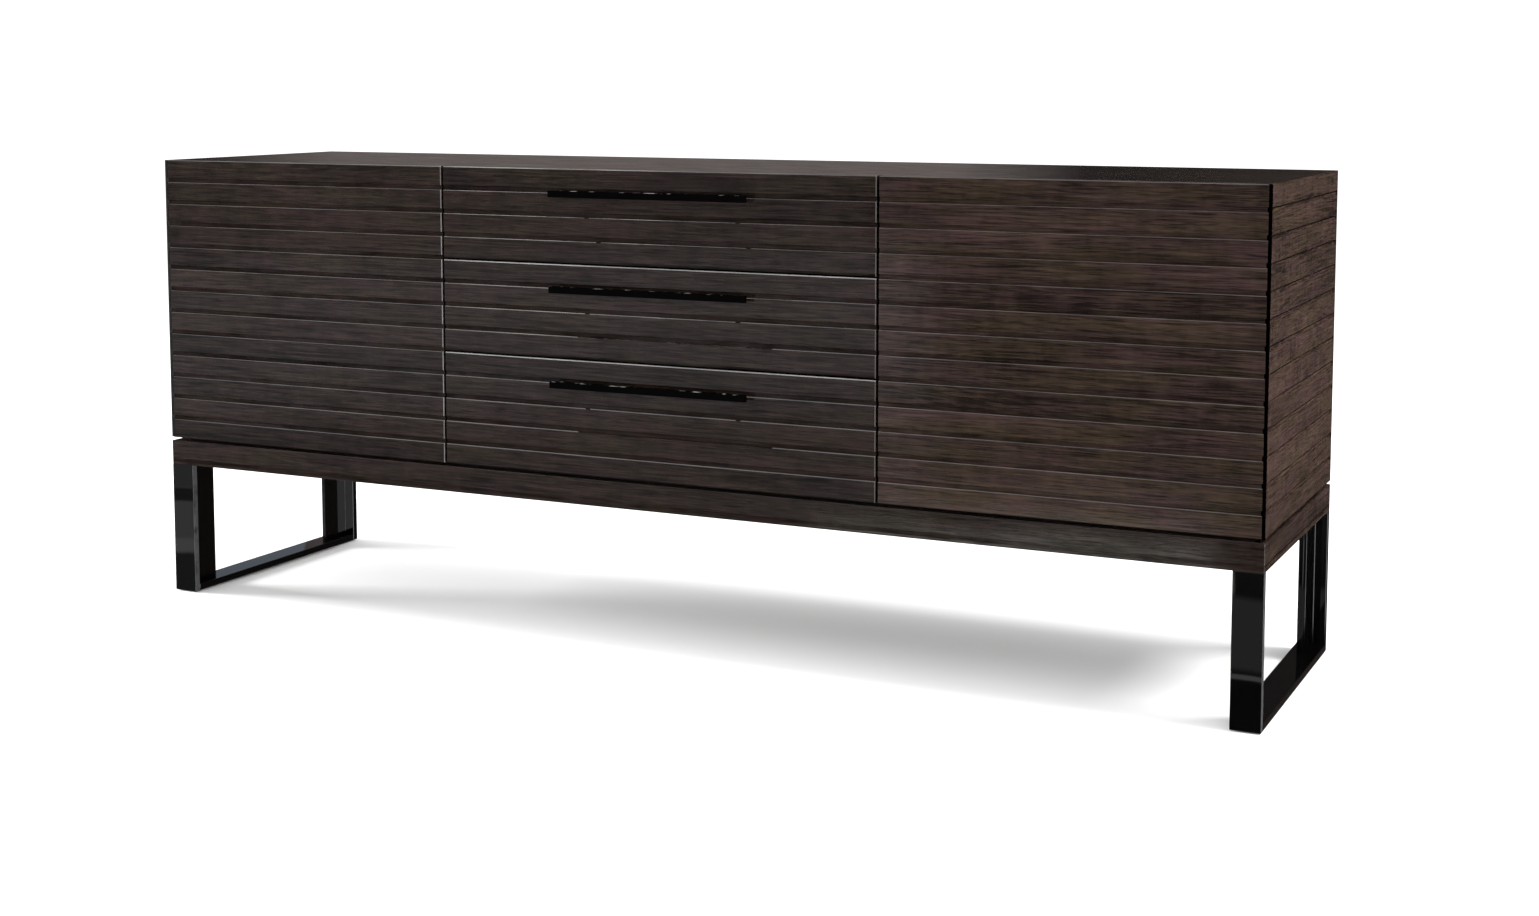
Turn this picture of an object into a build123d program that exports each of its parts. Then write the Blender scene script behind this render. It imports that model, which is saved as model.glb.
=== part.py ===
from build123d import *
import os

os.makedirs("parts", exist_ok=True)

# A sideboard on two flat-bar sled legs: a lacquered body of two doors and three drawers on a plinth.
# Millimetres. +X is to the right seen from the front, -Y is the front and +Z is up.
# The origin is on the floor, at the middle of the overall width and of the overall depth.

# Overall size
WIDTH = 2000.0
BODY_DEPTH = 490.0  # front of the doors to the rear edge of the sides
HEIGHT = 795.0
HANDLE_REACH = 18.0  # how far a handle stands out of its drawer front
PLINTH_TOP = 281.0
PLINTH_HEIGHT = 44.0
PLANKS = 13  # planks marked out by the grooves, from the top down to the plinth

# Boards
BOARD = 22.0  # doors, drawer fronts, sides and top
BOTTOM_BOARD = 20.0
PARTITION = 20.0
SHELF = 18.0
BACK_BOARD = 8.0
BACK_INSET = 4.0  # the back panel sits this far in from the rear edge
PLINTH_BOARD = 30.0

# Grooves between the planks
GROOVE_HEIGHT = 7.0
GROOVE_DEPTH = 2.2
LIP = 1.4  # chamfer on the upper edge of each plank
ARRIS = 0.6  # chamfer on the lower edge of each plank
GROOVE_STOP = 4.0  # the grooves of the sides end this far from their front and rear edges
PAST = 1.0  # how far a cutting outline runs out of the wood

# Gaps around the fronts
MITRE_GAP = 4.7  # between a door and its side panel, at the front corner
FRONT_GAP = 4.5  # between a door and the drawers
DRAWER_GAP = 3.0  # between one drawer front and the next
PLINTH_GAP = 6.0  # below the doors, the lowest drawer and the sides
BEHIND_FRONTS = 2.0  # between the back of the fronts and the carcass
PARTITION_X = 399.0  # middle of each partition

# Legs
BAR_WIDTH = 46.0
BAR_THICKNESS = 12.0
RIB_THICKNESS = 6.0
RIB_REACH = 80.0  # front face of the leg to the inner edge of its rib
GLIDE_HEIGHT = 2.0
GLIDE_RADIUS = 10.0
MOUNTING_BAR_THICKNESS = 6.0

# Handles
HANDLE_LENGTH = 360.0
HANDLE_HEIGHT = 11.0
HANDLE_THICKNESS = 8.0
HANDLE_TOP = 4.0  # top of the bar above the groove's lower edge
HANDLE_POST_X = 140.0
HANDLE_POST_RADIUS = 4.0
HANDLE_POST_SINK = 8.0  # how far a post goes into its drawer front

# Drawer boxes and their slides
DRAWER_SIDE = 12.0
DRAWER_BACK = 12.0
DRAWER_BASE = 8.0
DRAWER_BASE_RISE = 10.0
BOX_ABOVE_FRONT_FOOT = 18.0
BOX_BELOW_FRONT_TOP = 35.0
BOX_LENGTH = 420.0
SLIDE_SPACE = 13.0  # between a drawer side and its partition
SLIDE_HEIGHT = 45.0
SLIDE_LENGTH = 400.0
SLIDE_SHEET = 1.5
SLIDE_START = 4.0  # front end of the slides behind the back of the fronts

# Hinges and push latches
HINGE_FROM_END = 80.0  # centre of a hinge from the top or bottom end of its door
CUP_RADIUS = 17.5
CUP_DEPTH = 11.0
CUP_FROM_EDGE = 22.0
LATCH_LENGTH = 70.0
LATCH_SIZE = 14.0
PLUNGER_RADIUS = 4.0
PLUNGER_CLEARANCE = 0.3
PLUNGER_TRAVEL = 4.0
LATCH_FROM_PARTITION = 21.0  # face of the partition to the middle of the latch

# Shelves
SHELF_TOP = 548.0
SHELF_SETBACK = 20.0  # front edge of a shelf behind the carcass front
SHELF_END_CLEARANCE = 1.0
SHELF_REAR_CLEARANCE = 4.0
PIN_RADIUS = 2.5
PIN_LENGTH = 16.0
PIN_INSET = 60.0  # from the carcass front or the back panel to a row of pins

# Worked-out positions
HALF = WIDTH / 2
FRONT_Y = HANDLE_REACH - (BODY_DEPTH + HANDLE_REACH) / 2
REAR_Y = FRONT_Y + BODY_DEPTH
FRONTS_BACK_Y = FRONT_Y + BOARD
CARCASS_Y = FRONTS_BACK_Y + BEHIND_FRONTS
INSIDE_X = HALF - BOARD
PITCH = (HEIGHT - PLINTH_TOP) / PLANKS
BODY_FOOT = PLINTH_TOP + PLINTH_GAP
FLOOR_OF_CARCASS = PLINTH_TOP + BOTTOM_BOARD
CEILING = HEIGHT - BOARD
BACK_PANEL_Y = REAR_Y - BACK_INSET - BACK_BOARD
PLINTH_FOOT = PLINTH_TOP - PLINTH_HEIGHT
DRAWER_HALF = PARTITION_X - FRONT_GAP / 2
DOOR_INNER_X = PARTITION_X + FRONT_GAP / 2
DOOR_OUTER_X = HALF - MITRE_GAP
BAY_HALF = PARTITION_X - PARTITION / 2
COMPARTMENT_X = PARTITION_X + PARTITION / 2
BOX_HALF = BAY_HALF - SLIDE_SPACE
HINGE_LEVELS = (BODY_FOOT + HINGE_FROM_END, HEIGHT - HINGE_FROM_END)
CUP_X = DOOR_OUTER_X - BOARD - CUP_FROM_EDGE
LATCH_X = COMPARTMENT_X + LATCH_FROM_PARTITION
RIB_X = HALF - BAR_WIDTH / 2


def plank_top(number):
    """Height of the upper edge of a plank, where number 0 is the one at the top."""
    return HEIGHT - number * PITCH


# name: (lower edge, upper edge, number of the plank that its handle is on, first and last groove)
DRAWERS = {
    "upper": (plank_top(4) + DRAWER_GAP, HEIGHT, 1, range(1, 4)),
    "middle": (plank_top(8) + DRAWER_GAP, plank_top(4), 5, range(5, 8)),
    "lower": (BODY_FOOT, plank_top(8), 9, range(9, PLANKS)),
}
ALL_GROOVES = range(1, PLANKS)
SIDES = {"left": -1, "right": 1}
ENDS = {"front": (FRONT_Y, 1), "rear": (REAR_Y, -1)}


def write(piece, name):
    piece.part.label = name
    export_step(piece.part, f"parts/{name}.step")


def box(x, y, z):
    """Adds one rectangular block to the part being built, from its two limits along each axis."""
    with Locations((sum(x) / 2, sum(y) / 2, sum(z) / 2)):
        Box(abs(x[1] - x[0]), abs(y[1] - y[0]), abs(z[1] - z[0]))


def board(x, y, z):
    with BuildPart() as piece:
        box(x, y, z)
    return piece


def outline(*corners):
    """Adds a face with straight sides to the sketch being built, with its corners where they are given."""
    Polygon(*corners, align=None)


def groove_sections(plane, face, inward, numbers):
    """The sections of the grooves under these planks.

    face is the panel's face, and inward the way into the wood.
    """
    with BuildSketch(plane) as sections:
        for number in numbers:
            low = plank_top(number)
            high = low + GROOVE_HEIGHT
            outline(
                (face - inward * PAST, low - LIP - PAST),
                (face + inward * LIP, low),
                (face + inward * GROOVE_DEPTH, low),
                (face + inward * GROOVE_DEPTH, high),
                (face + inward * ARRIS, high),
                (face - inward * PAST, high + ARRIS + PAST),
            )
    return sections.sketch


def lip_section(top):
    """The section cut away along the upper edge of a door or a drawer front."""
    with BuildSketch(Plane.YZ.offset(-HALF)) as section:
        outline(
            (FRONT_Y - PAST, top - LIP - PAST),
            (FRONT_Y - PAST, top + PAST),
            (FRONT_Y + LIP + PAST, top + PAST),
        )
    return section.sketch


# ---- Body panels ----

with BuildPart() as top_panel:
    with BuildSketch(Plane.XZ.offset(-REAR_Y)):
        outline((-HALF, HEIGHT), (HALF, HEIGHT), (INSIDE_X, CEILING), (-INSIDE_X, CEILING))
    extrude(amount=REAR_Y - CARCASS_Y)
write(top_panel, "top_panel")

bottom_panel = board((-INSIDE_X, INSIDE_X), (CARCASS_Y, REAR_Y), (PLINTH_TOP, FLOOR_OF_CARCASS))
write(bottom_panel, "bottom_panel")

back_y = (BACK_PANEL_Y, BACK_PANEL_Y + BACK_BOARD)
write(board((-INSIDE_X, INSIDE_X), back_y, (FLOOR_OF_CARCASS, CEILING)), "back_panel")

PIN_LEVEL = SHELF_TOP - SHELF - PIN_RADIUS
PIN_SPOTS = [(y, PIN_LEVEL) for y in (CARCASS_Y + PIN_INSET, BACK_PANEL_Y - PIN_INSET)]


def pin_sections(x):
    """The sections of the shelf pins where they enter a face at x."""
    with BuildSketch(Plane.YZ.offset(x)) as sections:
        with Locations(*PIN_SPOTS):
            Circle(PIN_RADIUS)
    return sections.sketch


for side, s in SIDES.items():
    with BuildPart() as side_panel:
        with BuildSketch(Plane.XY.offset(BODY_FOOT)):
            outline(
                (s * HALF, FRONT_Y),
                (s * HALF, REAR_Y),
                (s * INSIDE_X, REAR_Y),
                (s * INSIDE_X, FRONTS_BACK_Y),
            )
        extrude(amount=HEIGHT - BODY_FOOT)
        # the mitre that meets the top panel stops at the carcass front
        with BuildSketch(Plane.XZ.offset(-REAR_Y)):
            outline((s * HALF, HEIGHT), (s * INSIDE_X, CEILING), (s * INSIDE_X, HEIGHT))
        extrude(amount=REAR_Y - CARCASS_Y, mode=Mode.SUBTRACT)
        grooves = groove_sections(Plane.XZ.offset(GROOVE_STOP - REAR_Y), s * HALF, -s, ALL_GROOVES)
        extrude(grooves, amount=BODY_DEPTH - 2 * GROOVE_STOP, mode=Mode.SUBTRACT)
        extrude(pin_sections(s * INSIDE_X), amount=s * PIN_LENGTH / 2, mode=Mode.SUBTRACT)
    write(side_panel, f"{side}_side_panel")

    with BuildPart() as partition:
        middle = s * PARTITION_X
        box(
            (middle - PARTITION / 2, middle + PARTITION / 2),
            (CARCASS_Y, BACK_PANEL_Y),
            (FLOOR_OF_CARCASS, CEILING),
        )
        extrude(pin_sections(s * COMPARTMENT_X), amount=-s * PIN_LENGTH / 2, mode=Mode.SUBTRACT)
    write(partition, f"{side}_partition")

    shelf = board(
        (s * (COMPARTMENT_X + SHELF_END_CLEARANCE), s * (INSIDE_X - SHELF_END_CLEARANCE)),
        (CARCASS_Y + SHELF_SETBACK, BACK_PANEL_Y - SHELF_REAR_CLEARANCE),
        (SHELF_TOP - SHELF, SHELF_TOP),
    )
    write(shelf, f"{side}_shelf")

with BuildPart() as shelf_pins:
    for x in (-INSIDE_X, -COMPARTMENT_X, COMPARTMENT_X, INSIDE_X):
        extrude(pin_sections(x), amount=PIN_LENGTH / 2, both=True)
write(shelf_pins, "shelf_pins")

# ---- Plinth: a mitred frame with two cross rails ----

INNER_X = HALF - PLINTH_BOARD
INNER_FRONT = FRONT_Y + PLINTH_BOARD
INNER_REAR = REAR_Y - PLINTH_BOARD
FRAME_OUTLINES = {
    "front": ((-HALF, FRONT_Y), (HALF, FRONT_Y), (INNER_X, INNER_FRONT), (-INNER_X, INNER_FRONT)),
    "rear": ((-HALF, REAR_Y), (HALF, REAR_Y), (INNER_X, INNER_REAR), (-INNER_X, INNER_REAR)),
    "left": ((-HALF, FRONT_Y), (-HALF, REAR_Y), (-INNER_X, INNER_REAR), (-INNER_X, INNER_FRONT)),
    "right": ((HALF, FRONT_Y), (HALF, REAR_Y), (INNER_X, INNER_REAR), (INNER_X, INNER_FRONT)),
}
for place, corners in FRAME_OUTLINES.items():
    with BuildPart() as plinth_rail:
        with BuildSketch(Plane.XY.offset(PLINTH_FOOT)):
            outline(*corners)
        extrude(amount=PLINTH_HEIGHT)
    write(plinth_rail, f"plinth_{place}_rail")

with BuildPart() as plinth_cross_rails:
    for s in SIDES.values():
        middle = s * PARTITION_X
        box(
            (middle - PLINTH_BOARD / 2, middle + PLINTH_BOARD / 2),
            (INNER_FRONT, INNER_REAR),
            (PLINTH_FOOT, PLINTH_TOP),
        )
write(plinth_cross_rails, "plinth_cross_rails")

# ---- Legs: on each side a front and a rear upright of T section, a floor rail and a mounting bar ----

BLOCK_LENGTH = 80.0
BAR_INNER_X = HALF - BAR_WIDTH
BLOCK_FOOT = PLINTH_FOOT + MOUNTING_BAR_THICKNESS
BOLT_FROM_BAR_EDGE = 9.0
BOLT_STEPS = (18.0, 62.0)  # from the inner face of a plinth rail to each bolt
BOLT_RADIUS = 3.0
BOLT_HEAD_RADIUS = 5.0
BOLT_HEAD_HEIGHT = 4.0
BOLT_DEPTH = 26.0  # length of a bolt inside its corner block
BOLT_SPOTS = [
    (s * (BAR_INNER_X + BOLT_FROM_BAR_EDGE), end + way * (PLINTH_BOARD + step))
    for s in SIDES.values()
    for end, way in ENDS.values()
    for step in BOLT_STEPS
]
RAIL_TOP = GLIDE_HEIGHT + BAR_THICKNESS

for side, s in SIDES.items():
    for end, (face, way) in ENDS.items():
        plate_y = (face, face + way * BAR_THICKNESS)
        rib_y = (face + way * BAR_THICKNESS, face + way * RIB_REACH)
        with BuildPart() as leg:
            box((s * BAR_INNER_X, s * HALF), plate_y, (GLIDE_HEIGHT, PLINTH_FOOT))
            rib_x = (s * RIB_X - RIB_THICKNESS / 2, s * RIB_X + RIB_THICKNESS / 2)
            box(rib_x, rib_y, (RAIL_TOP, PLINTH_FOOT))
        write(leg, f"{side}_{end}_leg")

    floor_rail = board(
        (s * BAR_INNER_X, s * HALF),
        (FRONT_Y + BAR_THICKNESS, REAR_Y - BAR_THICKNESS),
        (GLIDE_HEIGHT, RAIL_TOP),
    )
    write(floor_rail, f"{side}_floor_rail")

with BuildPart() as mounting_bars:
    for s in SIDES.values():
        box((s * BAR_INNER_X, s * INNER_X), (INNER_FRONT, INNER_REAR), (PLINTH_FOOT, BLOCK_FOOT))
    with BuildSketch(Plane.XY.offset(PLINTH_FOOT)):
        with Locations(*BOLT_SPOTS):
            Circle(BOLT_RADIUS)
    extrude(amount=MOUNTING_BAR_THICKNESS, mode=Mode.SUBTRACT)
write(mounting_bars, "mounting_bars")

with BuildPart() as corner_blocks:
    for s in SIDES.values():
        for end, way in ENDS.values():
            start = end + way * PLINTH_BOARD
            block_y = (start, start + way * BLOCK_LENGTH)
            box((s * BAR_INNER_X, s * INNER_X), block_y, (BLOCK_FOOT, PLINTH_TOP))
    with BuildSketch(Plane.XY.offset(BLOCK_FOOT)):
        with Locations(*BOLT_SPOTS):
            Circle(BOLT_RADIUS)
    extrude(amount=BOLT_DEPTH, mode=Mode.SUBTRACT)
write(corner_blocks, "corner_blocks")

with BuildPart() as leg_bolts:
    with BuildSketch(Plane.XY.offset(PLINTH_FOOT)):
        with Locations(*BOLT_SPOTS):
            Circle(BOLT_RADIUS)
    extrude(amount=MOUNTING_BAR_THICKNESS + BOLT_DEPTH)
    with BuildSketch(Plane.XY.offset(PLINTH_FOOT)):
        with Locations(*BOLT_SPOTS):
            Circle(BOLT_HEAD_RADIUS)
    extrude(amount=-BOLT_HEAD_HEIGHT)
write(leg_bolts, "leg_bolts")

GLIDE_INSET = 36.0  # from the outer face of a leg to the middle of its glide
GLIDE_SPOTS = [(s * RIB_X, end + way * GLIDE_INSET) for s in SIDES.values() for end, way in ENDS.values()]
with BuildPart() as floor_glides:
    with BuildSketch():
        with Locations(*GLIDE_SPOTS):
            Circle(GLIDE_RADIUS)
    extrude(amount=GLIDE_HEIGHT)
write(floor_glides, "floor_glides")

# ---- Doors, with their hinges and push latches ----

CUP_SPOTS = [(CUP_X, level) for level in HINGE_LEVELS]
CUP_WALL = 2.0
CUP_POCKET = 8.0
FLANGE_WIDTH = 13.0
FLANGE_HEIGHT = 52.0
FLANGE_THICKNESS = 1.5
PLATE_THICKNESS = 4.0
ARM_THICKNESS = 12.0
ARM_HEIGHT = 14.0
ARM_SETBACK = 3.0  # front end of an arm behind the carcass front
ARM_LENGTH = 66.0
PLATE_HEIGHT = 44.0
PLATE_LENGTH = 22.0
PLATE_ALONG_ARM = 26.0  # front end of an arm to the front edge of its plate

for side, s in SIDES.items():
    with BuildPart() as door_panel:
        with BuildSketch(Plane.XY.offset(BODY_FOOT)):
            outline(
                (s * DOOR_INNER_X, FRONT_Y),
                (s * DOOR_OUTER_X, FRONT_Y),
                (s * (DOOR_OUTER_X - BOARD), FRONTS_BACK_Y),
                (s * DOOR_INNER_X, FRONTS_BACK_Y),
            )
        extrude(amount=HEIGHT - BODY_FOOT)
        grooves = groove_sections(Plane.YZ.offset(-HALF), FRONT_Y, 1, ALL_GROOVES)
        extrude(grooves, amount=WIDTH, mode=Mode.SUBTRACT)
        extrude(lip_section(HEIGHT), amount=WIDTH, mode=Mode.SUBTRACT)
        with BuildSketch(Plane.XZ.offset(-FRONTS_BACK_Y)):
            with Locations(*[(s * x, z) for x, z in CUP_SPOTS]):
                Circle(CUP_RADIUS)
        extrude(amount=CUP_DEPTH, mode=Mode.SUBTRACT)
    write(door_panel, f"{side}_door_panel")

    with BuildPart() as hinge_cups:
        with BuildSketch(Plane.XZ.offset(-FRONTS_BACK_Y)):
            with Locations(*[(s * x, z) for x, z in CUP_SPOTS]):
                Circle(CUP_RADIUS)
        extrude(amount=CUP_DEPTH)
        with BuildSketch(Plane.XZ.offset(-FRONTS_BACK_Y)):
            with Locations(*[(s * x, z) for x, z in CUP_SPOTS]):
                Rectangle(FLANGE_WIDTH, FLANGE_HEIGHT)
                Circle(CUP_RADIUS + CUP_WALL)
        extrude(amount=-FLANGE_THICKNESS)
        with BuildSketch(Plane.XZ.offset(-FRONTS_BACK_Y - FLANGE_THICKNESS)):
            with Locations(*[(s * x, z) for x, z in CUP_SPOTS]):
                Circle(CUP_RADIUS - CUP_WALL)
        extrude(amount=CUP_POCKET, mode=Mode.SUBTRACT)
    write(hinge_cups, f"{side}_hinge_cups")

arm_front = CARCASS_Y + ARM_SETBACK
plate_front = arm_front + PLATE_ALONG_ARM
with BuildPart() as hinge_arms:
    for s in SIDES.values():
        for level in HINGE_LEVELS:
            plate_x = (s * INSIDE_X, s * (INSIDE_X - PLATE_THICKNESS))
            box(
                plate_x,
                (plate_front, plate_front + PLATE_LENGTH),
                (level - PLATE_HEIGHT / 2, level + PLATE_HEIGHT / 2),
            )
            box(
                (plate_x[1], plate_x[1] - s * ARM_THICKNESS),
                (arm_front, arm_front + ARM_LENGTH),
                (level - ARM_HEIGHT / 2, level + ARM_HEIGHT / 2),
            )
write(hinge_arms, "hinge_arms")

LATCH_Z = CEILING - LATCH_SIZE / 2
LATCH_SETBACK = 7.0  # front end of a latch behind the carcass front
PLUNGER_GAP = 0.5  # between a plunger's head and its door
BORE_SPARE = 2.0  # depth of the bore past the end of the plunger's travel
LATCH_FRONT = CARCASS_Y + LATCH_SETBACK
PLUNGER_FRONT = FRONTS_BACK_Y + PLUNGER_GAP
PLUNGER_LENGTH = 50.0
PLUNGER_HEAD_RADIUS = 5.0
PLUNGER_HEAD = 4.0
BORE_LENGTH = PLUNGER_FRONT + PLUNGER_LENGTH + PLUNGER_TRAVEL + BORE_SPARE - LATCH_FRONT

with BuildPart() as latch_bodies:
    for s in SIDES.values():
        box(
            (s * LATCH_X - LATCH_SIZE / 2, s * LATCH_X + LATCH_SIZE / 2),
            (LATCH_FRONT, LATCH_FRONT + LATCH_LENGTH),
            (CEILING - LATCH_SIZE, CEILING),
        )
    with BuildSketch(Plane.XZ.offset(-LATCH_FRONT)):
        with Locations(*[(s * LATCH_X, LATCH_Z) for s in SIDES.values()]):
            Circle(PLUNGER_RADIUS + PLUNGER_CLEARANCE)
    extrude(amount=-BORE_LENGTH, mode=Mode.SUBTRACT)
write(latch_bodies, "latch_bodies")

for side, s in SIDES.items():
    with BuildPart() as latch_plunger:
        for radius, length in ((PLUNGER_RADIUS, PLUNGER_LENGTH), (PLUNGER_HEAD_RADIUS, PLUNGER_HEAD)):
            with BuildSketch(Plane.XZ.offset(-PLUNGER_FRONT)):
                with Locations((s * LATCH_X, LATCH_Z)):
                    Circle(radius)
            extrude(amount=-length)
    write(latch_plunger, f"{side}_latch_plunger")

# ---- Drawers, with their handles and three-part slides ----

BOX_REAR = FRONTS_BACK_Y + BOX_LENGTH
BOX_INSIDE = BOX_HALF - DRAWER_SIDE
SLIDE_FRONT = FRONTS_BACK_Y + SLIDE_START
SLIDE_GAP = 0.5  # between one slide member and the next
MEMBER_STEP = SLIDE_SHEET + SLIDE_GAP


def slide_members(level, web, tip, half_height):
    """Builds a left and a right channel of bent sheet.

    web and tip are the X of its web and of its flanges' edge.
    """
    turn = 1 if tip > web else -1
    with BuildPart() as piece:
        for s in SIDES.values():
            with BuildSketch(Plane.XZ.offset(-SLIDE_FRONT)):
                outline(
                    (s * web, level - half_height),
                    (s * tip, level - half_height),
                    (s * tip, level - half_height + SLIDE_SHEET),
                    (s * (web + turn * SLIDE_SHEET), level - half_height + SLIDE_SHEET),
                    (s * (web + turn * SLIDE_SHEET), level + half_height - SLIDE_SHEET),
                    (s * tip, level + half_height - SLIDE_SHEET),
                    (s * tip, level + half_height),
                    (s * web, level + half_height),
                )
            extrude(amount=-SLIDE_LENGTH)
    return piece


for name, (foot, top, handle_plank, groove_numbers) in DRAWERS.items():
    box_foot = foot + BOX_ABOVE_FRONT_FOOT
    box_top = top - BOX_BELOW_FRONT_TOP
    slide_level = (box_foot + box_top) / 2
    base = (box_foot + DRAWER_BASE_RISE, box_foot + DRAWER_BASE_RISE + DRAWER_BASE)

    bar_top = plank_top(handle_plank) + HANDLE_TOP
    bar_z = (bar_top - HANDLE_HEIGHT, bar_top)
    bar_y = (FRONT_Y - HANDLE_REACH, FRONT_Y - HANDLE_REACH + HANDLE_THICKNESS)
    with BuildSketch(Plane.XZ.offset(-FRONT_Y - HANDLE_POST_SINK)) as post_sections:
        with Locations(*[(x, sum(bar_z) / 2) for x in (-HANDLE_POST_X, HANDLE_POST_X)]):
            Circle(HANDLE_POST_RADIUS)
    post_length = FRONT_Y + HANDLE_POST_SINK - bar_y[1]

    with BuildPart() as drawer_front:
        box((-DRAWER_HALF, DRAWER_HALF), (FRONT_Y, FRONTS_BACK_Y), (foot, top))
        grooves = groove_sections(Plane.YZ.offset(-HALF), FRONT_Y, 1, groove_numbers)
        extrude(grooves, amount=WIDTH, mode=Mode.SUBTRACT)
        extrude(lip_section(top), amount=WIDTH, mode=Mode.SUBTRACT)
        extrude(post_sections.sketch, amount=post_length, mode=Mode.SUBTRACT)
    write(drawer_front, f"{name}_drawer_front")

    with BuildPart() as handle:
        box((-HANDLE_LENGTH / 2, HANDLE_LENGTH / 2), bar_y, bar_z)
        extrude(post_sections.sketch, amount=post_length)
    write(handle, f"{name}_handle")

    for side, s in SIDES.items():
        drawer_side = board((s * BOX_INSIDE, s * BOX_HALF), (FRONTS_BACK_Y, BOX_REAR), (box_foot, box_top))
        write(drawer_side, f"{name}_drawer_{side}_side")

    drawer_back = board((-BOX_INSIDE, BOX_INSIDE), (BOX_REAR - DRAWER_BACK, BOX_REAR), (box_foot, box_top))
    write(drawer_back, f"{name}_drawer_back")

    drawer_base = board((-BOX_INSIDE, BOX_INSIDE), (FRONTS_BACK_Y, BOX_REAR - DRAWER_BACK), base)
    write(drawer_base, f"{name}_drawer_base")

    half = SLIDE_HEIGHT / 2
    cabinet_members = slide_members(slide_level, BAY_HALF, BOX_HALF + MEMBER_STEP, half)
    write(cabinet_members, f"{name}_cabinet_slides")
    web = (BAY_HALF + BOX_HALF) / 2
    middle_members = slide_members(slide_level, web, BAY_HALF - MEMBER_STEP, half - MEMBER_STEP)
    write(middle_members, f"{name}_middle_slides")
    drawer_members = slide_members(slide_level, BOX_HALF, web - SLIDE_GAP, half - 2 * MEMBER_STEP)
    write(drawer_members, f"{name}_drawer_slides")
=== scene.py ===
"""The look of a lacquered sideboard on sled legs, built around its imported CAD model."""

import math

import bpy
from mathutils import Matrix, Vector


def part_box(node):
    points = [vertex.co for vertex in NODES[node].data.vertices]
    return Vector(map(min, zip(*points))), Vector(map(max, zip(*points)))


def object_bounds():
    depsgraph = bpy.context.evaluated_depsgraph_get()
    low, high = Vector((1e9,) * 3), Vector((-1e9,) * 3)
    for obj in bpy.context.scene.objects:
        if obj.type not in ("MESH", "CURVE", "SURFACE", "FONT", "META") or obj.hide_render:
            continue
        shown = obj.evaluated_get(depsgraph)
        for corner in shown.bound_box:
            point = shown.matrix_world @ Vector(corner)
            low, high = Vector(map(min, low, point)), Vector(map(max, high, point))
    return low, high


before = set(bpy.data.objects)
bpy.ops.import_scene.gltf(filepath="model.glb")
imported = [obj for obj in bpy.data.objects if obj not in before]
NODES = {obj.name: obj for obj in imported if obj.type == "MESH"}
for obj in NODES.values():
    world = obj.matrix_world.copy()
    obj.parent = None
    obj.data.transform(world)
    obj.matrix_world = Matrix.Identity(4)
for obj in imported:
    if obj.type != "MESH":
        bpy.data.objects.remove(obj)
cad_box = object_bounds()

# ---- Sizes, in metres ----

TOP = cad_box[1].z
BODY_END = cad_box[1].x
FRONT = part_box("left_door_panel")[0].y
DOOR_END = -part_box("left_door_panel")[0].x

PLANKS = 13
PLINTH_GAP = 0.006  # the open joint above the plinth
PLANKS_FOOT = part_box("lower_drawer_front")[0].z - PLINTH_GAP
PLANK_PITCH = (TOP - PLANKS_FOOT) / PLANKS
GROOVE_HEIGHT = 0.007
GROOVE_SHARE = GROOVE_HEIGHT / PLANK_PITCH  # of each plank's height, at its foot
GROOVE_SKIN = 0.0023  # a little more than the grooves' depth

# How near a face a point has to be to count as on it
AT_TOP = 0.001
AT_FRONT = 0.0015
AT_MITRE = 0.0006
AT_HIGHLIGHT_FACE = 0.0004

LINE_INSET = 0.0007  # from an edge to the middle of the line along it
LINE_REACH = 0.0009  # from the middle of a line to either side

# |x| + y on the mitred ends of the doors and of the sides, which are painted black as the shade in the joint between a door and a side
MITRES = {"door_panel": DOOR_END + FRONT, "side_panel": BODY_END + FRONT}
NO_MITRE = 9.0  # beyond any point of the sideboard

# ---- Colours ----

STAIN_DARK = (0.0064, 0.0043, 0.0036)
STAIN_LIGHT = (0.046, 0.0295, 0.0235)
WINE_HUE = (1.02, 0.92, 1.06, 1.0)
OLIVE_HUE = (0.99, 1.04, 0.86, 1.0)
# painted shade, black, on the mitres, where the joint between a door and a side lies in shadow
MITRE_SHADE = (0.0004, 0.0004, 0.0004, 1.0)
# lines painted along the edges of the fronts: SHADOW_LINE is painted shadow at a drawer front's foot,
# the paler ones are painted highlights
SHADOW_LINE = (0.001, 0.001, 0.001, 1.0)
PALE_HIGHLIGHT_LINE = (0.27, 0.26, 0.26, 1.0)
DOOR_HIGHLIGHT_LINE = (0.16, 0.15, 0.15, 1.0)
FAINT_HIGHLIGHT_LINE = (0.09, 0.08, 0.075, 1.0)
PAINT_DARK = (0.0004, 0.0004, 0.0005, 1.0)
PAINT_LIGHT = (0.0016, 0.0016, 0.0018, 1.0)
# grey painted highlights: spots on the top face of the handles, and on the right-hand face of the front
# legs
HANDLE_HIGHLIGHT = (0.19, 0.19, 0.195, 1.0)
LEG_EDGE_HIGHLIGHT = (0.07, 0.07, 0.072, 1.0)

# How pale each board's veneer is painted. This is painted light: the paler boards stand in for more
# light falling on them, most on the right side and the right end of the plinth.
PAINTED_LIGHT_SHADES = {
    "right_door_panel": 0.97,
    "left_side_panel": 0.7,
    "right_side_panel": 1.35,
    "plinth_right_rail": 1.25,
}
USUAL_SHADE = 0.48


def tinted(colour, shade=1.0):
    return (*(c * shade for c in colour), 1.0)


def darkest_stain_and_shade(shade):
    """The darkest colour: the stain where it gathers in the pores, and painted shade in the grooves."""
    return tinted(STAIN_DARK, 0.4 * shade)


# ---- Node trees ----


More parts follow.
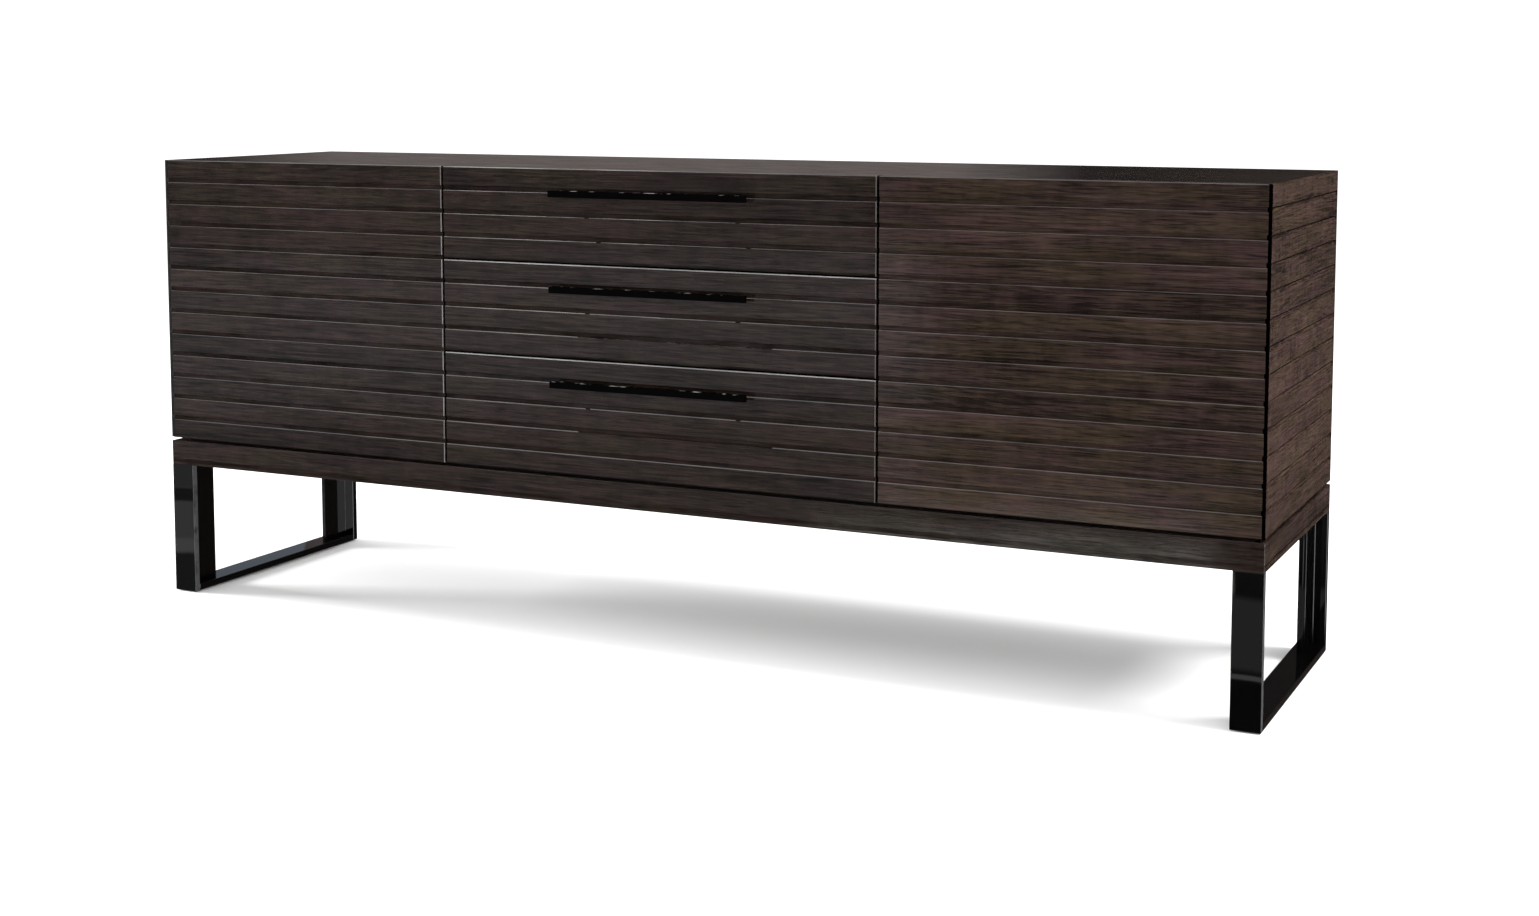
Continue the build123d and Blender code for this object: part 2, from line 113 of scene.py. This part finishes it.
class Tree:
    """A new material and its node tree, with a short way to add each node."""

    def __init__(self, name):
        self.material = bpy.data.materials.new(name)
        self.material.use_nodes = True
        self.tree = self.material.node_tree
        self.tree.nodes.clear()
        self.output = self.tree.nodes.new("ShaderNodeOutputMaterial")
        self.place = self.add("TexCoord").outputs["Object"]

    def add(self, kind, settings=None, inputs=None):
        """Adds a node. A value in inputs is another node's socket, or the value to set."""
        node = self.tree.nodes.new("ShaderNode" + kind)
        for name, value in (settings or {}).items():
            setattr(node, name, value)
        for key, value in (inputs or {}).items():
            if isinstance(value, bpy.types.NodeSocket):
                self.tree.links.new(value, node.inputs[key])
            else:
                node.inputs[key].default_value = value
        return node

    def axes(self, vector):
        return self.add("SeparateXYZ", None, {"Vector": vector}).outputs

    def math(self, operation, a, b=0.0, c=0.0):
        return self.add("Math", {"operation": operation}, {0: a, 1: b, 2: c}).outputs[0]

    def near(self, value, level, reach):
        """1 where value is within reach of level, and 0 elsewhere."""
        away = self.math("ABSOLUTE", self.math("SUBTRACT", value, level))
        return self.math("LESS_THAN", away, reach)

    def sway(self, base, noise, amount):
        """base, moved up and down by a noise, which lies around a half."""
        return self.math("MULTIPLY_ADD", self.math("SUBTRACT", noise, 0.5), amount, base)

    def remap(self, value, from_low, from_high, to_low, to_high):
        inputs = {
            "Value": value,
            "From Min": from_low,
            "From Max": from_high,
            "To Min": to_low,
            "To Max": to_high,
        }
        return self.add("MapRange", {"clamp": True}, inputs).outputs["Result"]

    def noise(self, vector, per_metre, offset=(0, 0, 0), detail=4.0, roughness=0.55, distortion=0.0):
        """Noise with about so many blots a metre along each axis."""
        mapping = {"Vector": vector, "Location": offset, "Scale": per_metre}
        inputs = {
            "Vector": self.add("Mapping", None, mapping).outputs["Vector"],
            "Scale": 1.0,
            "Detail": detail,
            "Roughness": roughness,
            "Distortion": distortion,
        }
        return self.add("TexNoise", None, inputs).outputs["Fac"]

    def mix(self, factor, a, b, blend="MIX"):
        inputs = {0: factor, 6: a, 7: b}
        return self.add("Mix", {"data_type": "RGBA", "blend_type": blend}, inputs).outputs[2]

    def bump(self, height, strength, distance):
        inputs = {"Height": height, "Strength": strength, "Distance": distance}
        return self.add("Bump", None, inputs).outputs["Normal"]

    def surface(self, **inputs):
        """Adds the shader and returns the material. An underscore in a name stands for a space."""
        named = {name.replace("_", " "): value for name, value in inputs.items()}
        shader = self.add("BsdfPrincipled", None, named)
        self.tree.links.new(shader.outputs[0], self.output.inputs["Surface"])
        return self.material


# ---- Lacquered oak ----

SEED_STEP = 17.3  # more than a board's planks, so that no two boards share a random number
VENEER_LENGTH = 7.0  # metres of veneer to cut the planks from, along the grain
VENEER_WIDTH = 3.0  # and across it


def plank_veneer(t, axes, along, seed):
    """Cuts the veneer of each plank from a place of its own, with the grain along the veneer's X.

    Returns how many planks down from the top a point is, its plank's random number, and its
    place in the veneer.
    """
    grain_axis, cross_axis = (axes["X"], axes["Y"]) if along == "X" else (axes["Y"], axes["X"])
    planks_down = t.math("DIVIDE", t.math("SUBTRACT", TOP, axes["Z"]), PLANK_PITCH)
    plank = t.math("ADD", t.math("FLOOR", planks_down), seed * SEED_STEP)
    chance = t.add("TexWhiteNoise", {"noise_dimensions": "1D"}, {"W": plank}).outputs["Value"]
    run = t.math("ADD", grain_axis, t.math("MULTIPLY", chance, VENEER_LENGTH))
    level = t.math("ADD", axes["Z"], t.math("MULTIPLY", chance, VENEER_WIDTH))
    veneer = t.add("CombineXYZ", None, {"X": run, "Y": cross_axis, "Z": level}).outputs["Vector"]
    return planks_down, chance, veneer


def stained_veneer(t, veneer, chance, seed, ripple, ticks, shade):
    """Returns the colour of the stained wood, and the streaks and pores that its relief follows."""
    cloud = t.noise(veneer, (2.2, 5.0, 12.0), (seed, 0, 0), 3.0)
    figure = t.noise(veneer, (1.3, 9.0, 26.0), (seed, 3, 0), 4.0, 0.6, 1.4)
    rings = t.math("SINE", t.math("MULTIPLY", figure, 70.0))
    streaks = t.noise(veneer, (9.0, 60.0, 260.0), (seed, 7, 0), 6.0, 0.78, 0.3)
    pores = t.noise(veneer, (22.0, 260.0, 620.0), (seed, 11, 0), 3.0, 0.6)
    pores = t.remap(pores, 0.50, 0.66, 0.0, 1.0)
    bands = t.noise(veneer, ticks, (seed, 13, 0), 3.0, 0.6)
    tint = t.noise(veneer, (5.0, 9.0, 30.0), (seed, 17, 0), 3.0, 0.6)

    tone = t.math("MULTIPLY_ADD", rings, 0.16, t.remap(streaks, 0.30, 0.72, 0.0, 1.0))
    for noise, amount in ((cloud, 1.1), (chance, 0.25), (bands, ripple)):
        tone = t.sway(tone, noise, amount)
    tone = t.math("MAXIMUM", tone, 0.0)
    colour = t.mix(tone, tinted(STAIN_DARK, shade), tinted(STAIN_LIGHT, shade))
    hue = t.mix(t.remap(tint, 0.38, 0.62, 0.0, 1.0), WINE_HUE, OLIVE_HUE)
    colour = t.mix(1.0, colour, hue, "MULTIPLY")
    colour = t.mix(t.math("MULTIPLY", pores, 0.6), colour, darkest_stain_and_shade(shade))
    return colour, streaks, pores


def outer_face(t, axes, along):
    """1 on the outer face of a front or a side, down to the floor of its grooves, and 0 elsewhere."""
    below_top = t.math("LESS_THAN", axes["Z"], TOP - AT_TOP)
    if along == "X":
        outer = t.math("LESS_THAN", axes["Y"], FRONT + GROOVE_SKIN)
    else:
        outer = t.math("GREATER_THAN", t.math("ABSOLUTE", axes["X"]), BODY_END - GROOVE_SKIN)
    return t.math("MULTIPLY", below_top, outer)


def lacquered_oak(
    name,
    seed,
    along="X",
    ripple=0.72,
    ticks=(34.0, 9.0, 16.0),
    groove_shade=0.2,
    shade_share=1.0,
    shade=1.0,
    mitre_at=NO_MITRE,
    painted_lines=(),
):
    """Dark stained open-grain oak under gloss lacquer. The grain runs along X or Y.

    ripple is how strong the figure across the grain is, and ticks about how many blots it has a
    metre along, into and up the board. groove_shade is how dark the painted shade is in the
    grooves, and shade_share how much of a groove it fills, from the top. shade is how pale the
    veneer is painted, which is painted light: paler where more light falls on the board. mitre_at
    is |x| + y on the board's mitre, which is painted black as shade in the joint. painted_lines are
    thin lines painted along the edges of its front face, as highlights or as shadow: the axis that
    each is square to, its level on that axis, and its colour.
    """
    t = Tree(name)
    axes = t.axes(t.place)
    planks_down, chance, veneer = plank_veneer(t, axes, along, seed)
    colour, streaks, pores = stained_veneer(t, veneer, chance, seed, ripple, ticks, shade)

    down_plank = t.math("FRACT", planks_down)
    in_groove = t.math("GREATER_THAN", down_plank, 1.0 - GROOVE_SHARE)
    in_groove = t.math("MULTIPLY", in_groove, outer_face(t, axes, along))
    # painted shade in the grooves, from the top of each groove down over shade_share of it
    shaded_groove_part = t.math("LESS_THAN", down_plank, 1.0 - GROOVE_SHARE * (1.0 - shade_share))
    shaded_groove_part = t.math("MULTIPLY", in_groove, shaded_groove_part)
    colour = t.mix(t.math("MULTIPLY", shaded_groove_part, groove_shade), colour, darkest_stain_and_shade(shade))

    # the mitre is painted black, as the shade in the joint
    across_mitre = t.math("ADD", t.math("ABSOLUTE", axes["X"]), axes["Y"])
    on_mitre = t.near(across_mitre, mitre_at, AT_MITRE)
    colour = t.mix(on_mitre, colour, MITRE_SHADE)

    # the painted highlight and shadow lines fade here and there
    at_front = t.math("LESS_THAN", axes["Y"], FRONT + AT_FRONT)
    fading = t.noise(veneer, (4.0, 4.0, 4.0), (seed, 23, 0), 4.0, 0.7)
    drawn = t.math("MULTIPLY", t.remap(fading, 0.35, 0.6, 0.5, 1.0), at_front)
    for axis, level, line in painted_lines:
        on_line = t.near(axes[axis], level, LINE_REACH)
        colour = t.mix(t.math("MULTIPLY", on_line, drawn), colour, line)

    # the lacquer is thin in the grooves, on the mitre and along the open grain
    patches = t.noise(veneer, (6.0, 3.0, 3.0), (seed, 19, 0), 4.0, 0.7)
    dull_groove = t.math("MULTIPLY", in_groove, t.remap(patches, 0.4, 0.6, 0.5, 0.9))
    dull_grain = t.remap(streaks, 0.38, 0.66, 0.45, 0.0)
    dull = t.math("MAXIMUM", dull_groove, t.math("MULTIPLY", on_mitre, 0.9))
    dull = t.math("MAXIMUM", dull, dull_grain)

    relief = t.math("MULTIPLY_ADD", pores, -0.7, t.math("MULTIPLY", streaks, 0.5))
    waves = t.noise(t.place, (9.0, 9.0, 9.0), (0, seed, 0), 2.0)
    coat_relief = t.math("ADD", waves, t.math("MULTIPLY", relief, 0.06))
    return t.surface(
        Base_Color=colour,
        Roughness=t.remap(streaks, 0.3, 0.7, 0.40, 0.60),
        Specular_IOR_Level=0.0,
        Normal=t.bump(relief, 0.35, 0.0006),
        Coat_Weight=t.math("SUBTRACT", 1.0, dull),
        Coat_Roughness=0.05,
        Coat_Normal=t.bump(coat_relief, 0.10, 0.002),
    )


# ---- Other materials ----


def board(name, seed, dark, light, roughness):
    """A satin veneered board, its grain along X."""
    t = Tree(name)
    streaks = t.noise(t.place, (3.0, 60.0, 60.0), (seed, 0, 0), 6.0, 0.65, 0.4)
    cloud = t.noise(t.place, (1.5, 6.0, 6.0), (seed, 5, 0), 3.0)
    fine = t.noise(t.place, (30.0, 700.0, 700.0), (seed, 9, 0), 2.0)
    tone = t.math("MULTIPLY_ADD", cloud, 0.5, t.remap(streaks, 0.3, 0.72, -0.1, 0.7))
    return t.surface(
        Base_Color=t.mix(tone, tinted(dark), tinted(light)),
        Roughness=t.remap(fine, 0.3, 0.7, roughness - 0.05, roughness + 0.08),
        Normal=t.bump(t.math("ADD", streaks, fine), 0.15, 0.0005),
    )


def black_paint(name, seed, gloss, painted_highlight=None):
    """Steel under black paint, with a slight orange peel. gloss is how strong its clear coat is.

    rub is the face with grey spots of painted highlight, if there is one: the axis it is square to,
    its level on that axis, the grey, and the two values of a noise between which the grey comes in.
    """
    t = Tree(name)
    peel = t.noise(t.place, (60.0, 60.0, 60.0), (seed, 0, 0), 3.0)
    dust = t.noise(t.place, (14.0, 14.0, 14.0), (seed, 4, 0), 5.0, 0.7)
    colour = t.mix(dust, PAINT_DARK, PAINT_LIGHT)
    # grey spots of painted highlight on one face
    if painted_highlight:
        axis, level, grey, low, high = painted_highlight
        on_face = t.near(t.axes(t.place)[axis], level, AT_HIGHLIGHT_FACE)
        patches = t.noise(t.place, (45.0, 45.0, 45.0), (seed, 9, 0), 3.0)
        spots = t.remap(patches, low, high, 0.0, 1.0)
        colour = t.mix(t.math("MULTIPLY", on_face, spots), colour, grey)
    return t.surface(
        Base_Color=colour,
        Roughness=t.remap(dust, 0.35, 0.7, 0.22, 0.34),
        Specular_IOR_Level=0.0,
        Normal=t.bump(peel, 0.06, 0.001),
        Coat_Weight=gloss,
        Coat_Roughness=0.012,
    )


def plated_steel(name, colour, roughness, brushed):
    """Plated steel, finely brushed. brushed is how deep the brush marks are."""
    t = Tree(name)
    brush = t.noise(t.place, (900.0, 12.0, 900.0), detail=3.0)
    spangle = t.noise(t.place, (55.0, 55.0, 55.0), (8, 0, 0), 3.0, 0.6)
    shade = t.math("MULTIPLY_ADD", brush, 0.25, t.math("MULTIPLY", spangle, 0.75))
    return t.surface(
        Base_Color=t.mix(shade, tinted(colour, 0.72), tinted(colour)),
        Metallic=1.0,
        Roughness=t.remap(shade, 0.3, 0.7, roughness, roughness + 0.14),
        Normal=t.bump(brush, brushed, 0.0003),
    )


def moulded_plastic():
    """Grey plastic with the fine texture of its mould."""
    t = Tree("moulded_grey")
    fine = t.noise(t.place, (900.0, 900.0, 900.0), detail=2.0)
    cloud = t.noise(t.place, (40.0, 40.0, 40.0), detail=3.0)
    return t.surface(
        Base_Color=t.mix(cloud, (0.10, 0.10, 0.105, 1.0), (0.16, 0.16, 0.165, 1.0)),
        Roughness=t.remap(fine, 0.3, 0.7, 0.42, 0.56),
        Normal=t.bump(fine, 0.12, 0.0003),
    )


# ---- Which node gets which material ----

# The finish of each slot, apart from the lacquered boards, the handles and the front legs
FINISHES = {
    "interior_board": board("inside_veneer", 2, (0.020, 0.013, 0.010), (0.060, 0.040, 0.031), 0.42),
    "drawer_board": board("drawer_veneer", 5, (0.055, 0.040, 0.031), (0.13, 0.10, 0.08), 0.45),
    "plain_wood": board("beech", 8, (0.40, 0.26, 0.15), (0.60, 0.43, 0.28), 0.6),
    "black_metal": black_paint("leg_paint", seed=1, gloss=1.0),
    "zinc_steel": plated_steel("zinc", (0.55, 0.57, 0.60), 0.28, 0.25),
    "nickel_steel": plated_steel("nickel", (0.66, 0.64, 0.60), 0.18, 0.10),
    "grey_plastic": moulded_plastic(),
}

# The boards along Y show short ticks across the grain, and a thin dark line of painted shade at the top
# of each groove
BOARDS_ALONG_Y = ("left_side_panel", "right_side_panel", "plinth_left_rail", "plinth_right_rail")
ALONG_Y = {
    "along": "Y",
    "ripple": 1.32,
    "ticks": (100.0, 9.0, 22.0),
    "groove_shade": 0.9,
    "shade_share": 0.4,
}


def painted_lines_of(node):
    """The thin lines painted along the edges of one front: pale painted highlights, and a black painted
    shadow along a drawer front's foot.
    """
    low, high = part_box(node)
    lines = []
    if node.endswith("drawer_front"):
        lines.append(("Z", low.z + LINE_INSET, SHADOW_LINE))
        lines.append(("X", high.x - LINE_INSET, FAINT_HIGHLIGHT_LINE))
        if node != "upper_drawer_front":
            lines.append(("Z", high.z - LINE_INSET, PALE_HIGHLIGHT_LINE))
    elif node == "left_door_panel":
        lines.append(("X", high.x - LINE_INSET, DOOR_HIGHLIGHT_LINE))
    return lines


def finish_for(node, slot):
    """The finish of one node. Lacquered boards, handles and front legs each have one of their own."""
    if slot == "lacquered_oak":
        return lacquered_oak(
            f"lacquer_{node}",
            seed=sorted(NODES).index(node),
            shade=PAINTED_LIGHT_SHADES.get(node, USUAL_SHADE),
            mitre_at=MITRES.get(node.partition("_")[2], NO_MITRE),
            painted_lines=painted_lines_of(node),
            **(ALONG_Y if node in BOARDS_ALONG_Y else {}),
        )
    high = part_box(node)[1]
    # the handles' top faces and the front legs' right-hand faces get grey spots of painted highlight
    if node.endswith("_handle"):
        painted_highlight = ("Z", high.z, HANDLE_HIGHLIGHT, 0.54, 0.64)
        return black_paint(f"paint_{node}", seed=6, gloss=0.02, painted_highlight=painted_highlight)
    if node.endswith("front_leg"):
        painted_highlight = ("X", high.x, LEG_EDGE_HIGHLIGHT, 0.2, 0.5)
        return black_paint(f"paint_{node}", seed=1, gloss=1.0, painted_highlight=painted_highlight)
    return FINISHES[slot]


# How far each slot's edges are rounded, in metres
ROUNDING = {
    "lacquered_oak": 0.0008,
    "black_metal": 0.0008,
    "interior_board": 0.0006,
    "drawer_board": 0.0006,
}
USUAL_ROUNDING = 0.0003


def soften(piece, width):
    """Rounds a CAD node's sharp edges for the light, without touching its mesh."""
    weld = piece.modifiers.new("weld", "WELD")
    weld.merge_threshold = 1e-6
    bevel = piece.modifiers.new("bevel", "BEVEL")
    bevel.width = width
    bevel.segments = 2
    bevel.limit_method = "ANGLE"
    bevel.angle_limit = math.radians(30)
    normals = piece.modifiers.new("normals", "WEIGHTED_NORMAL")
    normals.weight = 60


for name, piece in NODES.items():
    slot = piece.data.materials[0].name
    piece.data.materials[0] = finish_for(name, slot)
    soften(piece, ROUNDING.get(slot, USUAL_ROUNDING))

# ---- Floor ----

FLOOR_REACH = 30.0


def floor_paint():
    t = Tree("floor_paint")
    scuff = t.noise(t.place, (0.9, 2.2, 1.0), detail=6.0, roughness=0.7, distortion=0.6)
    return t.surface(
        Base_Color=t.mix(scuff, (0.88, 0.88, 0.88, 1.0), (0.93, 0.93, 0.93, 1.0)),
        Roughness=0.6,
        Specular_IOR_Level=0.0,
    )


floor_mesh = bpy.data.meshes.new("floor")
quarters = ((-1, -1), (1, -1), (1, 1), (-1, 1))
corners = [(x * FLOOR_REACH, y * FLOOR_REACH, 0.0) for x, y in quarters]
floor_mesh.from_pydata(corners, [], [(0, 1, 2, 3)])
floor = bpy.data.objects.new("floor", floor_mesh)
bpy.context.scene.collection.objects.link(floor)
floor_mesh.materials.append(floor_paint())
floor.visible_glossy = False

# ---- Light ----

world = bpy.data.worlds.new("studio")
bpy.context.scene.world = world
world.use_nodes = True
background = world.node_tree.nodes["Background"].inputs
background["Color"].default_value = (1.0, 1.0, 1.0, 1.0)
background["Strength"].default_value = 1.36
world.cycles_visibility.glossy = False


def soft_lamp(name, size, energy, location, rotation):
    """A rectangular lamp, its angles in degrees. It lights the object and doesn't show in its gloss."""
    lamp = bpy.data.objects.new(name, bpy.data.lights.new(name, "AREA"))
    bpy.context.scene.collection.objects.link(lamp)
    lamp.data.shape = "RECTANGLE"
    lamp.data.size, lamp.data.size_y = size
    lamp.data.energy = energy
    lamp.location = location
    lamp.rotation_euler = [math.radians(angle) for angle in rotation]
    lamp.visible_glossy = False


soft_lamp("side_lamp", (1.6, 1.2), 120.0, (2.9, 0.3, 2.6), (43.1, 0, 99))
soft_lamp("far_lamp", (1.6, 1.0), 420.0, (-5.0, -0.9, 1.3), (77.4, 0, 279.7))

# ---- Reflections ----

DOME_RADIUS = 40.0
WALLS = (0.02, 0.02, 0.02)
CEILING = (2.4, 2.4, 2.45)
CEILING_RISE = (24, 66)  # degrees up, where the ceiling starts and where it is full
GROUND = (0.5, 0.5, 0.5)
GROUND_RISE = (-40, -18)  # degrees up, where the ground is full and where it ends

# What the lacquer and the gloss paint reflect. Each card is a soft rectangle on the dome, painted
# over the cards before it, in degrees:
# (facing, middle to the left, middle up, half width, half height, soft edge, colour).
# "front" is measured from -Y and "back" from +Y, and left is towards -X on both.
CARDS = [
    # what the fronts show: a dim wall all along, and to the left two pale bands below a grey wall
    ("front", 0, 12, 90, 24, 2, (0.10, 0.10, 0.10)),
    ("front", 60.8, -10.5, 40, 4, 1, (0.34, 0.34, 0.355)),
    ("front", 60.8, -6.0, 40, 2.2, 0.5, (0.62, 0.62, 0.66)),
    ("front", 62, 12, 39.5, 15.5, 0.5, (0.30, 0.30, 0.30)),
    # what the left legs show
    ("front", 41.5, -13.3, 5, 1.2, 0.1, (0.13, 0.13, 0.14)),
    ("front", 41.5, -11.17, 3, 0.9, 0.1, (0.58, 0.58, 0.6)),
    ("front", 41.5, -11.9, 3, 0.14, 0.1, (0.85, 0.85, 0.88)),
    ("front", 41.5, -10.42, 5, 0.16, 0.06, (0.1, 0.1, 0.1)),
    # what the right part of the plinth and the right front leg show
    ("front", 18, -12.6, 6, 0.6, 0.3, (1.6, 1.65, 1.55)),
    ("front", 12, -14.5, 8, 0.95, 0.2, (0.32, 0.32, 0.32)),
    ("front", 12, -15.75, 8, 0.05, 0.04, (0.9, 0.9, 0.9)),
    # a bright wall on the right, which the rounded upright edges catch
    ("front", -54, -6.5, 34, 7.5, 0.5, (8.0, 8.0, 8.0)),
    # what the top and the floor rails show
    ("back", 29, 6, 9, 6, 4, (0.19, 0.165, 0.158)),
    ("back", 41.2, 13, 2, 1.2, 0.06, (0.24, 0.27, 0.32)),
    # what the right side shows: a dim wall with a small black patch
    ("back", -30, -5, 34, 20, 12, (0.05, 0.04, 0.035)),
    ("back", -11.4, -2.5, 0.7, 0.3, 0.3, (0.0, 0.0, 0.0)),
    # overhead, what the lips of the grooves show
    ("front", 85, 58, 25, 8, 4, (3.6, 3.6, 3.7)),
    ("front", 84, 57.5, 8, 1.2, 0.8, (8.0, 8.0, 8.0)),
    ("front", 84, 61, 8, 0.6, 0.5, (8.0, 8.0, 8.0)),
]


def dome_paint():
    """A bright ceiling and a pale ground beyond dim walls, with the soft cards on them."""
    t = Tree("dome_paint")
    axes = t.axes(t.add("VectorMath", {"operation": "NORMALIZE"}, {0: t.place}).outputs[0])
    left = t.math("MULTIPLY", axes["X"], -1.0)
    ahead = t.math("MULTIPLY", axes["Y"], -1.0)
    turn = {
        "front": t.math("DEGREES", t.math("ARCTAN2", left, ahead)),
        "back": t.math("DEGREES", t.math("ARCTAN2", left, axes["Y"])),
    }
    rise = t.math("DEGREES", t.math("ARCSINE", axes["Z"]))

    def inside(value, middle, half, soft):
        away = t.math("ABSOLUTE", t.math("SUBTRACT", value, middle))
        return t.remap(away, half, half + soft, 1.0, 0.0)

    ceiling = t.remap(rise, *CEILING_RISE, 0.0, 1.0)
    ground = t.remap(rise, *GROUND_RISE, 1.0, 0.0)
    glow = t.mix(ceiling, tinted(WALLS), tinted(CEILING))
    glow = t.mix(ground, glow, tinted(GROUND))
    for facing, middle, up, half_width, half_height, soft, colour in CARDS:
        sideways = inside(turn[facing], middle, half_width, soft)
        upright = inside(rise, up, half_height, soft)
        glow = t.mix(t.math("MULTIPLY", sideways, upright), glow, tinted(colour))
    light = t.add("Emission", None, {"Color": glow, "Strength": 1.0})
    t.tree.links.new(light.outputs[0], t.output.inputs["Surface"])
    t.material.cycles.emission_sampling = "NONE"
    return t.material


bpy.ops.mesh.primitive_uv_sphere_add(segments=64, ring_count=32, radius=DOME_RADIUS)
dome = bpy.context.object
dome.name = "reflection_dome"
dome.data.materials.append(dome_paint())
dome.visible_camera = False
dome.visible_diffuse = False
dome.visible_transmission = False
dome.visible_shadow = False

# ---- Camera ----

CAMERA_PLACE = (1.63, -3.206, 0.9468)
CAMERA_DOWN = 5.37  # degrees below the horizon
CAMERA_TURN = 25.47  # degrees from +Y towards -X

camera = bpy.data.objects.new("camera", bpy.data.cameras.new("camera"))
bpy.context.scene.collection.objects.link(camera)
camera.location = CAMERA_PLACE
camera.rotation_euler = (math.radians(90 - CAMERA_DOWN), 0.0, math.radians(CAMERA_TURN))
camera.data.lens = 49.12
camera.data.sensor_width = 36.0
camera.data.shift_y = -0.12
camera.data.clip_end = 100.0
bpy.context.scene.camera = camera
bpy.context.scene.view_settings.view_transform = "Standard"
